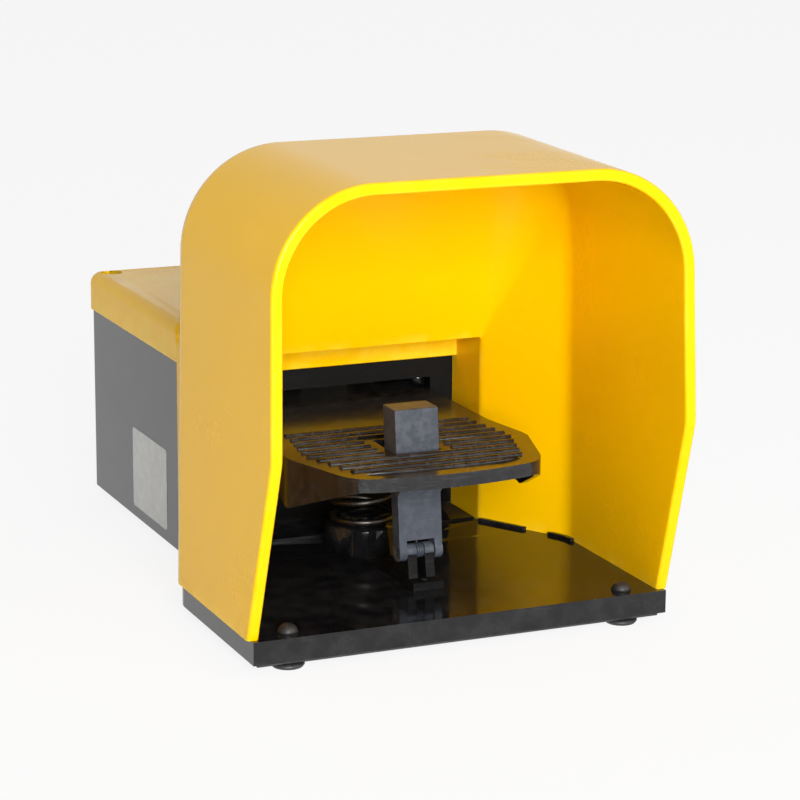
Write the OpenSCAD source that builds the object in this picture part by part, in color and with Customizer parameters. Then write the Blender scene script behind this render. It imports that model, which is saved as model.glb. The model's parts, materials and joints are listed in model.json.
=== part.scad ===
// Guarded industrial foot switch with a toe latch.
// Lengths in millimetres. X to the right, Y towards the back, Z up from the ground.
// Each module is drawn with Y = 0 at the front edge of the floor plate, and
// from_front() then sets it about the middle of the whole length.

/* [Floor plate] */
// Width of the floor plate under the hood
plate_w = 160; // [150:1:176]
// Height of the top of the floor plate above the ground
floor_h = 12; // [11:0.5:15]
// Distance from the front edge to where the sides start to run in
straight_len = 72; // [66:1:76]
// Distance from the front edge to the end of the run-in
narrow_at = 112; // [108:1:116]
// Thickness of the skin of the floor plate
skin_t = 3; // [2.5:0.1:3.5]
// Height of the rubber feet below the bottom plate
foot_h = 2; // [1.5:0.1:3]
// Thickness of the bottom plate
bottom_t = 1.5; // [1:0.1:2]

/* [Housing] */
// Width of the switch housing
house_w = 117; // [114:1:120]
// Distance from the front edge of the plate to the front of the housing
house_front = 137; // [134:1:140]
// Distance from the front edge of the plate to the back of the housing
house_back = 250; // [244:1:262]
// Height of the joint between housing and lid above the ground
seam_h = 79.5; // [77:0.5:82]
// Height of the lid above the joint
lid_h = 15.5; // [13.5:0.5:19.5]
// Wall thickness of the housing and the lid
wall = 3.5; // [3:0.1:4]

/* [Hood] */
// Height of the top of the hood above the ground
hood_top = 172; // [160:1:186]
// How far the upper front edge stands out in front of the plate
hood_lip = 18.5; // [12:0.5:24]
// Height of the corner in the front edge of the hood
kink_h = 79; // [70:1:90]
// Wall thickness of the hood
hood_t = 4.3; // [3.6:0.1:4.8]
// How far the front edge leans back from the corner to the top
hood_lean = 4.1; // [0:0.1:8]
// Draft of the sides of the hood, in millimetres per 100 mm of height
hood_draft = 1.95; // [0.5:0.05:2.5]
// Outer radius of the two upper corners
hood_r = 37.5; // [28:0.5:44]
// How far the hood stands out beyond the sides of the plate
hood_over = 1.5; // [0.8:0.1:1.8]
// Height of the rear opening above the joint between housing and lid
opening_rise = 6.5; // [5:0.5:8.5]

/* [Treadle] */
// Height of the top of the treadle above the ground
treadle_h = 62.5; // [61:0.5:63]
// Widest part of the treadle
treadle_w = 95; // [88:1:100]
// Distance from the front edge of the plate to the front of the treadle
treadle_front = 10; // [6:1:14]
// Thickness of the treadle plate
treadle_t = 4; // [3.4:0.1:4.4]
// Number of grip ribs
rib_count = 11; // [8:1:11]
// Distance between two grip ribs
rib_pitch = 6.2; // [5.6:0.1:6.4]
// Distance from the front edge of the plate to the hinge shaft
pivot_y = 160; // [158:0.5:161]
// Height of the hinge shaft above the ground
pivot_h = 52; // [51.5:0.1:52.5]
// Radius of the hinge shaft
shaft_r = 4; // [3:0.1:4.4]

/* [Latch and springs] */
// Distance from the front edge of the plate to the latch pin
latch_y = 42.5; // [41.5:0.1:43.5]
// Height of the latch pin above the ground
latch_h = 24.5; // [24:0.1:25]
// Width of the latch
latch_w = 17; // [14:0.5:19]
// Lean of the latch at rest, in degrees
latch_lean = 6; // [4:0.5:7]
// Distance from the front edge of the plate to the return spring
spring_y = 94; // [90:0.5:98]
// Outer diameter of the return spring
spring_d = 26; // [22:0.5:28]
// Wire diameter of the return spring
wire_d = 2.4; // [1.8:0.1:2.8]

/* [Cable entry] */
// Height of the cable entry above the ground
entry_h = 42; // [38:1:50]
// Outer radius of the gland's thread
entry_r = 10; // [8:0.5:10]
// Bore radius of the cable seal
cable_r = 4.5; // [3:0.25:5]

/* [Hidden] */
$fn = 64;
gap = 0.3;                        // rest gap between pieces that only touch
fit = 0.02;                       // radial gap of a pressed seat
run = 0.05;                       // radial gap of a running fit
gland_out = 22;
y_front = hood_lip - (hood_lip + house_back + gland_out) / 2;
plate_bottom = foot_h + bottom_t; // underside of the plate moulding
collar_end = house_front - gap;
house_in = house_w / 2 - wall;
inner_front = house_front + wall;
inner_back = house_back - wall;
hood_half = plate_w / 2 + hood_over;
collar_half = house_w / 2 + hood_over;
hood_shift = 0.55 * hood_t;       // forward shift of the inner skin of the hood
lid_over = 1;                     // the lid stands out beyond the housing
lid_top = seam_h + lid_h;
opening_h = seam_h + opening_rise;

latch_gap = gap;
latch_half = latch_w / 2;
pin_r = 1.5;
fork_t = 3;                       // thickness of each leg of the latch
notch_half = latch_half - fork_t;
knuckle_half = notch_half - gap;
knuckle_r = 2.75;
post_r = spring_d / 2 + 2;
post_h = 9.5;
rib_r = 1;
plate_under = treadle_h - rib_r - treadle_t;
hub_r = 8;
hub_in = house_w / 2 - 24.5;
hub_w = 8;
saddle_in = hub_in + hub_w + 2;
saddle_w = 7;
saddle_half = 10.5;
cap_screw_y = 8.2;
bush_r = shaft_r + 2;
plunger_y = pivot_y + 20;
plunger_x = 15;
plunger_r = 2.4;
arm_top = pivot_h + 4;
bridge_z = arm_top + 4;
bridge_t = 2;
bridge_post_x = house_w / 2 - 20.5;
waist_x = 44;                     // half width of the treadle where it enters the housing
block_z = bridge_z + bridge_t;
foot_x = plate_w / 2 - 15;
foot_y = 6.5;
rear_foot_x = house_w / 2 - 16;
rear_foot_y = house_back - 14;
lid_screw_x = house_w / 2 - 7;
lid_screw_y1 = inner_front + 4;
lid_screw_y2 = inner_back - 4;

// ---- shared shapes ----

module from_front() {
    translate([0, y_front, 0]) children();
}

// A shape on the right and its mirror image on the left
module both_sides() {
    children();
    mirror([1, 0, 0]) children();
}

// Cylinder along X, centred on x
module rod_x(r, len) {
    rotate([0, 90, 0]) cylinder(r = r, h = len, center = true);
}

// Cylinder along Y from y = 0 backwards
module rod_y(r, len) {
    rotate([-90, 0, 0]) cylinder(r = r, h = len);
}

// Profile given in (y, z), extruded along X about the middle
module side_profile(points, width) {
    rotate([90, 0, 90]) linear_extrude(height = width, center = true) polygon(points);
}

// Rectangle with round corners, from true circles
module round_rect(x, y0, y1, r) {
    translate([-x, y0 + r]) square([2 * x, y1 - y0 - 2 * r]);
    translate([-x + r, y0]) square([2 * x - 2 * r, y1 - y0]);
    for (sx = [-1, 1])
        for (y = [y0 + r, y1 - r])
            translate([sx * (x - r), y]) circle(r = r);
}

// Pan head with a cross slot, head up, seat of the head at z = 0
module pan_screw(r, head_r, head_h, len) {
    difference() {
        union() {
            translate([0, 0, -len]) cylinder(r = r, h = len + 0.1);
            cylinder(r1 = head_r, r2 = head_r * 0.72, h = head_h);
        }
        for (a = [0, 90])
            rotate([0, 0, a]) translate([-head_r * 0.6, -0.4, head_h * 0.45])
                cube([head_r * 1.2, 0.8, head_h]);
    }
}

// Faces of a closed tube: m rings of n points each, with both ends capped
function tube_faces(n, m) = concat(
    [[for (j = [n - 1:-1:0]) j]],
    [[for (j = [0:n - 1]) (m - 1) * n + j]],
    [for (i = [0:m - 2]) for (j = [0:n - 1])
        let (k = (j + 1) % n)
        [i * n + j, i * n + k, (i + 1) * n + j]],
    [for (i = [0:m - 2]) for (j = [0:n - 1])
        let (k = (j + 1) % n)
        [i * n + k, (i + 1) * n + k, (i + 1) * n + j]]);

// How far the side has run in, from 0 to 1: a round bend first, then straight
function ramp(t, bend) =
    let (s = max(0, min(1, t)))
    (s < bend ? s * s / (2 * bend) : s - bend / 2) / (1 - bend / 2);

side_bend = 0.2;
roof_bend = 0.42;
roof_len = straight_len + 3;      // where the roof starts to come down
roof_rise = 0.014;                // rise of the roof towards that point

function run_in(y, bend) = ramp((y - straight_len) / (narrow_at - straight_len), bend);

function roof_in(y) = ramp((y - roof_len) / (narrow_at - roof_len), roof_bend);

function half_at(y, wide, narrow) = wide + (narrow - wide) * run_in(y, side_bend);

stations = 14;

function run_in_y(i) = straight_len + (narrow_at - straight_len) * i / stations;

// Plan of the floor plate and of anything that follows it
module spade(wide, narrow, y0, y1) {
    right = concat([[wide, y0]],
        [for (i = [0:stations]) [half_at(run_in_y(i), wide, narrow), run_in_y(i)]],
        [[narrow, y1]]);
    n = len(right);
    polygon(concat(right, [for (i = [0:n - 1]) [-right[n - 1 - i][0], right[n - 1 - i][1]]]));
}

// ---- housing and floor ----

module at_feet() {
    both_sides() {
        translate([foot_x, foot_y, 0]) children();
        translate([rear_foot_x, rear_foot_y, 0]) children();
    }
}

module at_lid_screws() {
    both_sides() {
        translate([lid_screw_x, lid_screw_y1, 0]) children();
        translate([lid_screw_x, lid_screw_y2, 0]) children();
    }
}

module at_bottom_screws() {
    both_sides() {
        translate([foot_x - 14, foot_y + 8, 0]) children();
        translate([plate_w / 2 - 24, straight_len, 0]) children();
        translate([rear_foot_x - 12, rear_foot_y - 4, 0]) children();
    }
}

module at_bridge_posts() {
    for (sx = [-1, 1])
        for (y = [pivot_y + 17, pivot_y + 50])
            translate([sx * bridge_post_x, y, 0]) children();
}

bracket_screw_y = [latch_y - 6, latch_y + 20];

// Short ribs that the foot of the hood stands against
module locating_ribs() {
    rib_t = 1.6;
    inner_wide = hood_half - hood_t - gap;
    inner_narrow = collar_half - hood_t - gap;
    for (y = [[straight_len - 4, 12], [narrow_at - 22, 18]])
        intersection() {
            translate([0, -hood_shift, floor_h - 0.5]) linear_extrude(height = 1.8)
                difference() {
                    spade(inner_wide, inner_narrow, 0, collar_end);
                    spade(inner_wide - rib_t, inner_narrow - rib_t, -1, collar_end + 1);
                }
            translate([-plate_w, y[0], 0]) cube([2 * plate_w, y[1], 3 * floor_h]);
        }
}

module base_housing() {
    edge = 3;
    color([0.09, 0.09, 0.10]) from_front() {
        difference() {
            union() {
                difference() {
                    union() {
                        translate([0, 0, plate_bottom]) linear_extrude(height = floor_h - plate_bottom)
                            spade(plate_w / 2, house_w / 2, 0, house_back - 4);
                        translate([0, 0, plate_bottom]) linear_extrude(height = seam_h - plate_bottom)
                            difference() {
                                round_rect(house_w / 2, house_front - 6, house_back, 4);
                                translate([-house_w, house_front - 8]) square([2 * house_w, 8]);
                            }
                    }
                    // hollow under the floor
                    translate([0, 0, plate_bottom - 1])
                        linear_extrude(height = floor_h - skin_t - plate_bottom + 1)
                            spade(plate_w / 2 - edge, house_w / 2 - edge, edge, house_back - edge);
                    // inside of the housing
                    translate([0, 0, floor_h]) linear_extrude(height = seam_h)
                        round_rect(house_in, inner_front, inner_back, 2);
                }
                // posts in the hollow under the floor
                at_feet() translate([0, 0, plate_bottom]) cylinder(r = 5, h = floor_h - plate_bottom);
                at_bottom_screws() translate([0, 0, plate_bottom]) cylinder(r = 4, h = floor_h - plate_bottom);
                for (y = bracket_screw_y)
                    translate([0, y, plate_bottom]) cylinder(r = 4, h = floor_h - plate_bottom);
                // stiffening ribs in the hollow under the floor
                for (y = [30, 78, 126, 172, 212])
                    translate([-half_at(y, plate_w, house_w) / 2 + edge / 2, y, plate_bottom])
                        cube([half_at(y, plate_w, house_w) - edge, 2, floor_h - plate_bottom]);
                // raised floor in front of the housing
                translate([-collar_half + hood_t + 1, narrow_at, floor_h - 0.5])
                    cube([2 * (collar_half - hood_t - 1), house_front - narrow_at + 1, 1.3]);
                locating_ribs();
                // post of the return spring
                translate([0, spring_y, floor_h - 0.5]) cylinder(r = post_r, h = post_h + 0.5);
                translate([0, spring_y, floor_h]) cylinder(r = spring_d / 2 - wire_d - 1, h = post_h + 4);
                // lid posts, one in each corner
                at_lid_screws() translate([0, 0, floor_h - 0.5]) cylinder(r = 4.5, h = seam_h - floor_h + 0.5);
                // saddles of the hinge shaft
                both_sides() difference() {
                    translate([saddle_in, pivot_y - saddle_half, floor_h - 0.5])
                        cube([saddle_w, 2 * saddle_half, pivot_h + 2 - floor_h + 0.5]);
                    translate([saddle_in - 1, pivot_y - bush_r - fit, pivot_h])
                        cube([saddle_w + 2, 2 * (bush_r + fit), 10]);
                }
                // posts under the contact bridge
                at_bridge_posts() translate([0, 0, floor_h - 0.5]) cylinder(r = 4.5, h = bridge_z - floor_h + 0.5);
                // rest stop under the arm of the treadle
                translate([0, plunger_y + 4, floor_h - 0.5]) cylinder(r = 5, h = pivot_h - 2 - gap - floor_h + 0.5);
                // boss of the earth terminal
                translate([-28, inner_back - 14, floor_h - 0.5]) cylinder(r = 5, h = 8.5);
            }
            // way through the front wall for the treadle
            translate([-waist_x - 2.5, house_front - 1, pivot_h - 8.5])
                cube([2 * waist_x + 5, wall + 2, treadle_h - pivot_h + 11]);
            // screw holes
            at_feet() translate([0, 0, -1]) cylinder(r = 2.7, h = 2 * floor_h);
            at_bottom_screws() translate([0, 0, -1]) cylinder(r = 1.3, h = floor_h - 1);
            for (y = bracket_screw_y) translate([0, y, -1]) cylinder(r = 1.7, h = 2 * floor_h);
            at_lid_screws() translate([0, 0, seam_h - 20]) cylinder(r = 1.6, h = 21);
            at_bridge_posts() translate([0, 0, bridge_z - 12]) cylinder(r = 1.6, h = 13);
            translate([-28, inner_back - 14, floor_h + 1]) cylinder(r = 1.6, h = 8);
            for (x = hood_screw_x)
                translate([x, house_front - 1, hood_screw_h]) rod_y(1.9, wall + 2);
            both_sides() {
                translate([saddle_in - 1 + saddle_w / 2 + 1, pivot_y, pivot_h]) rod_x(bush_r + fit, saddle_w + 2);
                for (sy = [-1, 1])
                    translate([saddle_in + saddle_w / 2, pivot_y + sy * cap_screw_y, pivot_h - 10]) cylinder(r = 1.1, h = 14);
            }
            // cable entry
            translate([0, inner_back - 1, entry_h]) rod_y(entry_r + 0.2, wall + 2);
            // groove of the gasket
            translate([0, 0, seam_h - 1]) linear_extrude(height = 2) gasket_plan();
        }
    }
}

module gasket_plan() {
    m = wall / 2;
    difference() {
        round_rect(house_w / 2 - m + 0.7, house_front + m - 0.7, house_back - m + 0.7, 3);
        round_rect(house_w / 2 - m - 0.7, house_front + m + 0.7, house_back - m - 0.7, 2);
    }
}

module lid_gasket() {
    color([0.15, 0.15, 0.15]) from_front()
        translate([0, 0, seam_h - 1]) linear_extrude(height = 1) gasket_plan();
}

module bottom_plate() {
    inset = 2;
    color([0.13, 0.13, 0.14]) from_front() difference() {
        translate([0, 0, foot_h]) linear_extrude(height = bottom_t)
            spade(plate_w / 2 - inset, house_w / 2 - inset, inset, house_back - inset);
        at_feet() cylinder(r = 2.7, h = 2 * floor_h);
        at_bottom_screws() translate([0, 0, foot_h - 0.01]) cylinder(r1 = 2.75, r2 = 1.5, h = bottom_t + 0.02);
        for (y = bracket_screw_y)
            translate([0, y, foot_h - 0.01]) cylinder(r1 = 3.25, r2 = 1.8, h = bottom_t + 0.02);
    }
}

// Countersunk screw driven upwards, its head flush with the bottom plate
module sunk_screw(r, head_r, len) {
    difference() {
        union() {
            cylinder(r1 = head_r, r2 = r, h = bottom_t);
            cylinder(r = r, h = len);
        }
        for (a = [0, 90])
            rotate([0, 0, a]) translate([-head_r * 0.55, -0.35, -1]) cube([head_r * 1.1, 0.7, 1.8]);
    }
}

module bottom_screws() {
    color([0.62, 0.63, 0.65]) from_front()
        at_bottom_screws() translate([0, 0, foot_h]) sunk_screw(1.28, 2.6, floor_h - 4);
}

module rubber_feet() {
    color([0.07, 0.07, 0.07]) from_front() at_feet() rotate_extrude()
        polygon(concat([[0, 0], [5.4, 0], [6, 0.8], [6, foot_h], [2.55, foot_h], [2.55, floor_h], [3.7, floor_h]],
            [for (a = [15:15:90]) [3.7 * cos(a), floor_h + 3.4 * sin(a)]]));
}

// ---- hood ----

hood_screw_x = [-42, -16, 16, 42];
hood_screw_h = seam_h - 3.1;
flange_low = hood_screw_h - 2.6;

function roof_at(y, top, low) =
    let (t = top - roof_rise * max(0, roof_len - y)) t + (low - t) * roof_in(y);

// One arch of the hood at y, from its right foot over the top to its left foot;
// half is the half width at the floor, and the sides draw in by draft above it
function arch(y, half, top, r, low, draft) =
    let (q = min(r, half - 3), c = top - q,
         w = half - draft * (c - floor_h), foot = half - draft * (low - floor_h))
    concat([[foot, y, low]],
        [for (a = [0:7.5:90]) [w - q + q * cos(a), y, c + q * sin(a)]],
        [for (a = [90:7.5:180]) [-w + q + q * cos(a), y, c + q * sin(a)]],
        [[-foot, y, low]]);

// A solid skinned over arches; inset moves it inwards, shift forwards
module hood_skin(y0, y1, inset, shift, low) {
    ys = concat([y0], [for (i = [0:stations]) run_in_y(i) - shift], [y1]);
    collar_top = opening_h + hood_t;
    collar_r = 5;
    rows = [for (y = ys)
        let (w = half_at(y + shift, hood_half, collar_half),
             h = roof_at(y + shift, hood_top, collar_top),
             r = hood_r + (collar_r - hood_r) * roof_in(y + shift))
        arch(y, w - inset, h - inset, r - inset * 0.9, low,
            hood_draft / 100 * (1 - run_in(y + shift, side_bend)))];
    n = len(rows[0]);
    m = len(rows);
    polyhedron(
        points = [for (row = rows) for (p = row) p],
        faces = tube_faces(n, m));
}

module hood() {
    foot_front = 2;
    color([0.96, 0.72, 0.02]) from_front() difference() {
        union() {
            difference() {
                intersection() {
                    hood_skin(-hood_lip, collar_end, 0, 0, floor_h);
                    side_profile([[foot_front, floor_h], [-hood_lip, kink_h],
                        [-hood_lip + hood_lean, hood_top + 1],
                        [collar_end, hood_top + 1], [collar_end, floor_h]], 2 * plate_w);
                }
                hood_skin(-hood_lip - 5, collar_end + 5, hood_t, hood_shift, floor_h - 5);
            }
            // flange across the rear opening
            translate([-collar_half + 2, collar_end - hood_t, flange_low])
                cube([2 * collar_half - 4, hood_t, opening_h + 1 - flange_low]);
        }
        for (x = hood_screw_x)
            translate([x, collar_end - hood_t + 0.8, hood_screw_h]) rod_y(1.7, hood_t);
    }
}

module hood_screws() {
    color([0.62, 0.63, 0.65]) from_front() for (x = hood_screw_x)
        translate([x, inner_front, hood_screw_h]) rotate([-90, 0, 0]) pan_screw(1.68, 3.2, 2.2, wall + gap + 3);
}

// ---- lid ----

module housing_lid() {
    r = 5;
    x = house_w / 2 + lid_over;
    y0 = collar_end + gap / 2;
    y1 = house_back + lid_over;
    color([0.96, 0.72, 0.02]) from_front() difference() {
        hull() {
            for (sx = [-1, 1]) {
                for (y = [y0 + 1.5, y1 - r])
                    translate([sx * (x - r), y, seam_h]) cylinder(r = y > house_front + 9 ? r : 1.5, h = 1, $fn = 32);
                translate([sx * (x - 1.5), y0 + 1.5, seam_h]) cylinder(r = 1.5, h = lid_top - seam_h - r, $fn = 32);
                translate([sx * (x - r), y1 - r, lid_top - r]) sphere(r = r, $fn = 32);
                translate([sx * (x - r), y0 + r, lid_top - r]) sphere(r = r, $fn = 32);
            }
        }
        translate([0, 0, seam_h - 1]) linear_extrude(height = lid_top - wall + 0.5 - seam_h + 1)
            difference() {
                round_rect(house_in, inner_front, inner_back, 2);
                at_lid_screws() circle(r = 5.6);
            }
        at_lid_screws() {
            translate([0, 0, seam_h - 1]) cylinder(r = 2.2, h = 30);
            translate([0, 0, lid_top - 5]) cylinder(r = 4.2, h = 10);
        }
    }
}

module lid_screws() {
    color([0.55, 0.56, 0.58]) from_front()
        at_lid_screws() translate([0, 0, lid_top - 5]) pan_screw(1.58, 3.6, 2.6, 26);
}

// ---- treadle and its hinge ----

corner_x = 37;
corner_y = treadle_front + 5;
wide_y = treadle_front + 40;
waist_y = treadle_front + 67;

// Half width of the treadle at y, kept `inset` inside the edge
function treadle_half(y, inset) =
    (y < wide_y ? corner_x + (treadle_w / 2 - corner_x) * (y - corner_y) / (wide_y - corner_y)
     : y < waist_y ? treadle_w / 2 + (waist_x - treadle_w / 2) * (y - wide_y) / (waist_y - wide_y)
     : waist_x) - inset;

// Front edge of the treadle: a shallow arc across its width
function treadle_nose(x, inset) =
    treadle_front + (corner_y - treadle_front) * pow(x / corner_x, 2) + inset;

module treadle_plan(inset, back) {
    nose_half = corner_x - 7;
    turn_y = corner_y + 9;
    from = [nose_half, treadle_nose(nose_half, inset)];
    mid = [treadle_half(corner_y, inset), treadle_nose(corner_x, inset)];
    to = [treadle_half(turn_y, inset), turn_y];
    right = concat([for (t = [1:5]) let (q = t / 5)
            (1 - q) * (1 - q) * from + 2 * q * (1 - q) * mid + q * q * to],
        [[treadle_half(wide_y, inset), wide_y], [treadle_half(wide_y, inset), wide_y + 5],
         [treadle_half(waist_y, inset), waist_y], [waist_x - inset, back]]);
    n = len(right);
    polygon(concat(
        [for (i = [-8:8]) [nose_half * i / 8, treadle_nose(nose_half * i / 8, inset)]],
        right,
        [for (i = [0:n - 1]) [-right[n - 1 - i][0], right[n - 1 - i][1]]]));
}

slot_front = latch_y - 0.3;
slot_back = latch_y + 21.5;
plate_end = pivot_y - 10;

module grip_ribs() {
    intersection() {
        for (i = [0:rib_count - 1])
            translate([0, treadle_front + 9 + i * rib_pitch, treadle_h - rib_r - 0.35])
                rod_x(rib_r + 0.35, treadle_w);
        translate([0, 0, treadle_h - rib_r - 1.5]) linear_extrude(height = 4) difference() {
            treadle_plan(7, plate_end);
            translate([-latch_half - 5, slot_front - 5]) square([latch_w + 10, slot_back - slot_front + 9]);
        }
    }
}

module treadle() {
    skirt = 5;
    apex = [wide_y + 2, 42.6];     // lowest point of the side flanges
    color([0.10, 0.10, 0.11]) from_front() {
        difference() {
            union() {
                translate([0, 0, plate_under]) linear_extrude(height = treadle_t) treadle_plan(0, plate_end);
                grip_ribs();
                // downturned edge
                translate([0, 0, treadle_h - rib_r - skirt]) linear_extrude(height = skirt) difference() {
                    treadle_plan(0, plate_end);
                    treadle_plan(2.2, plate_end + 1);
                }
                // deeper flanges at the widest part of both sides
                intersection() {
                    side_profile([[corner_y, plate_under + 0.5], [corner_y, plate_under - 1], apex,
                        [wide_y + 70, plate_under], [wide_y + 70, plate_under + 0.5]], 2 * treadle_w);
                    translate([0, 0, apex[1] - 1]) linear_extrude(height = plate_under + 2 - apex[1]) difference() {
                        treadle_plan(0, plate_end);
                        treadle_plan(2.2, plate_end + 1);
                    }
                }
                // webs that carry the plate to the hinge
                both_sides() translate([hub_in + hub_w / 2, 0, 0])
                    side_profile([[wide_y, plate_under + 1], [waist_y, plate_under - 6], [pivot_y - 6, pivot_h - 4],
                        [pivot_y, pivot_h], [pivot_y - 2, pivot_h + hub_r], [plate_end, treadle_h - rib_r]], 4);
                both_sides() translate([hub_in + hub_w / 2, pivot_y, pivot_h]) rod_x(hub_r, hub_w);
                // tube around the shaft, with the arm to the contacts
                translate([0, pivot_y, pivot_h]) rod_x(hub_r - 1, 2 * hub_in + 2);
                translate([-24, pivot_y, pivot_h - 2]) cube([48, 25, 6]);
                // seat of the return spring
                translate([0, spring_y, plate_under - 2]) cylinder(r = spring_d / 2 + 1.5, h = 3);
            }
            translate([0, pivot_y, pivot_h]) rod_x(shaft_r + fit, 2 * treadle_w);
            // slot for the latch
            translate([-latch_half - 0.8, slot_front, plate_under - 1])
                cube([latch_w + 1.6, slot_back - slot_front, treadle_t + 4]);
            // recess of the spring seat
            translate([0, spring_y, plate_under - 3]) cylinder(r = spring_d / 2 + gap, h = 2.5);
        }
    }
}

module hinge_shaft() {
    half = saddle_in + saddle_w + 3;
    color([0.70, 0.71, 0.73]) from_front() translate([0, pivot_y, pivot_h]) difference() {
        rod_x(shaft_r, 2 * half);
        both_sides() translate([half - 1.6, 0, 0]) difference() {
            rod_x(shaft_r + 1, 0.9);
            rod_x(shaft_r - 0.5, 2);
        }
    }
}

module shaft_bushes() {
    color([0.72, 0.55, 0.25]) from_front() both_sides()
        translate([saddle_in + saddle_w / 2, pivot_y, pivot_h]) difference() {
            union() {
                rod_x(bush_r, saddle_w);
                translate([-saddle_w / 2 - 0.5, 0, 0]) rod_x(bush_r + 1.2, 1);
            }
            rod_x(shaft_r + run, 4 * saddle_w);
        }
}

module bearing_caps() {
    color([0.10, 0.10, 0.11]) from_front() both_sides() difference() {
        translate([saddle_in, pivot_y - saddle_half, pivot_h + 2]) cube([saddle_w, 2 * saddle_half, 7.5]);
        translate([saddle_in + saddle_w / 2, pivot_y, pivot_h]) rod_x(bush_r + fit, saddle_w + 2);
        for (sy = [-1, 1])
            translate([saddle_in + saddle_w / 2, pivot_y + sy * cap_screw_y, pivot_h]) cylinder(r = 1.3, h = 14);
    }
}

module cap_screws() {
    color([0.62, 0.63, 0.65]) from_front() both_sides() for (sy = [-1, 1])
        translate([saddle_in + saddle_w / 2, pivot_y + sy * cap_screw_y, pivot_h + 9.5]) pan_screw(1.08, 2.2, 1.6, 15);
}

module shaft_clips() {
    half = saddle_in + saddle_w + 3;
    color([0.45, 0.46, 0.48]) from_front() both_sides()
        translate([half - 1.6, pivot_y, pivot_h]) difference() {
            rod_x(shaft_r + 1.6, 0.8);
            rod_x(shaft_r - 0.5, 2);
            translate([-1, -1, -2 * shaft_r]) cube([2, 2, 2 * shaft_r]);
        }
}

// ---- return spring ----

spring_turns = 5;
spring_low = floor_h + post_h;
spring_high = plate_under - 0.5;

// Height of the wire's middle line after a turn count t: closed end coils
function coil_z(t) =
    let (h = spring_high - spring_low - wire_d - 0.1, e = 0.85,
         p = (h - 2 * e * wire_d) / (spring_turns - 2 * e))
    spring_low + wire_d / 2 + 0.05 +
    (t < e ? t * wire_d : t > spring_turns - e ? h - (spring_turns - t) * wire_d
        : e * wire_d + (t - e) * p);

module return_spring() {
    steps = 20;
    sides = 8;
    r = (spring_d - wire_d) / 2;
    total = spring_turns * steps;
    color([0.42, 0.40, 0.37]) from_front() translate([0, spring_y, 0]) polyhedron(
        points = [for (i = [0:total]) for (j = [0:sides - 1])
            let (a = 360 * i / steps, b = 360 * j / sides, q = r + wire_d / 2 * cos(b))
            [q * cos(a), q * sin(a), coil_z(i / steps) + wire_d / 2 * sin(b)]],
        faces = tube_faces(sides, total + 1));
}

// ---- latch ----

latch_travel = 16;
leg_t = 3;                        // half thickness of the leg
tab_low = 31;
tab_top = 52.5;
coil_r = 2.75;
coil_wire = 0.9;
coils = 3;
coil_half = coils * coil_wire / 2;
coil_leg = coil_half - coil_wire / 2;

module at_latch() {
    from_front() translate([0, latch_y, latch_h]) children();
}

module safety_latch() {
    color([0.34, 0.37, 0.42]) at_latch() rotate([-latch_lean, 0, 0]) difference() {
        union() {
            side_profile([[-leg_t, 0], [leg_t, 0], [leg_t, tab_low], [leg_t + 5, tab_low],
                [leg_t + 5, tab_top + 1], [-leg_t + 0.6, tab_top], [-leg_t, tab_top - 0.6],
                [-leg_t, 26.5], [-leg_t - 2.2, 26.5], [-leg_t - 2.2, 23], [-leg_t, 21]], latch_w);
            rod_x(leg_t + 0.5, latch_w);
        }
        rod_x(pin_r + fit, 2 * latch_w);
        translate([-notch_half, -2 * leg_t, -10]) cube([2 * notch_half, 4 * leg_t, 14.2]);
        // groove for the leg of the torsion spring
        translate([coil_leg - 0.8, 1.4, 3]) cube([1.6, 4, 12]);
    }
}

// Narrow foot with the knuckle that the latch turns on
module latch_bracket() {
    color([0.10, 0.10, 0.11]) from_front() difference() {
        union() {
            translate([-knuckle_half - 0.8, latch_y - 10, floor_h]) cube([2 * knuckle_half + 1.6, 34, 3]);
            side_profile([[latch_y - 4.5, floor_h + 1], [latch_y - knuckle_r + 0.1, latch_h - 2],
                [latch_y - knuckle_r + 0.1, latch_h], [latch_y + knuckle_r - 0.1, latch_h],
                [latch_y + knuckle_r + 0.4, latch_h - 3], [latch_y + 13, floor_h + 1]], 2 * knuckle_half);
            translate([0, latch_y, latch_h]) rod_x(knuckle_r, 2 * knuckle_half);
        }
        translate([0, latch_y, latch_h]) rod_x(pin_r + run, 4 * latch_w);
        // room for the torsion spring
        translate([-coil_half - gap, latch_y - 5, floor_h + 3]) cube([2 * (coil_half + gap), 9, latch_h]);
        for (y = bracket_screw_y) translate([0, y, floor_h - 1]) cylinder(r = 1.5, h = 5);
    }
}

module bracket_screws() {
    color([0.62, 0.63, 0.65]) from_front()
        for (y = bracket_screw_y) translate([0, y, foot_h]) sunk_screw(1.48, 3, floor_h + 2.6 - foot_h);
}

module latch_pin() {
    color([0.70, 0.71, 0.73]) at_latch() rod_x(pin_r, latch_w - 0.2);
}

// Torsion spring: close coils around the pin and two straight legs
module latch_spring() {
    w = coil_wire / 2;
    color([0.60, 0.62, 0.65]) at_latch() {
        rotate([0, 90, 0]) rotate_extrude() polygon(concat(
            [[coil_r - 2 * w, -coil_half], [coil_r - w, -coil_half]],
            [for (i = [0:coils - 1]) for (a = [-75:25:75])
                [coil_r - w + w * cos(a), -coil_half + w + i * coil_wire + w * sin(a)]],
            [[coil_r - w, coil_half], [coil_r - 2 * w, coil_half]]));
        translate([-coil_leg, coil_r - w, floor_h + 3 + gap - latch_h])
            cylinder(r = w - 0.06, h = latch_h - floor_h - 3 - gap + 0.1);
        rotate([-latch_lean - latch_travel, 0, 0]) translate([coil_leg, coil_r - w, -0.1])
            cylinder(r = w - 0.06, h = 12);
    }
}

// ---- contacts ----

module at_blocks() {
    both_sides() translate([plunger_x, plunger_y, 0]) children();
}

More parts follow.
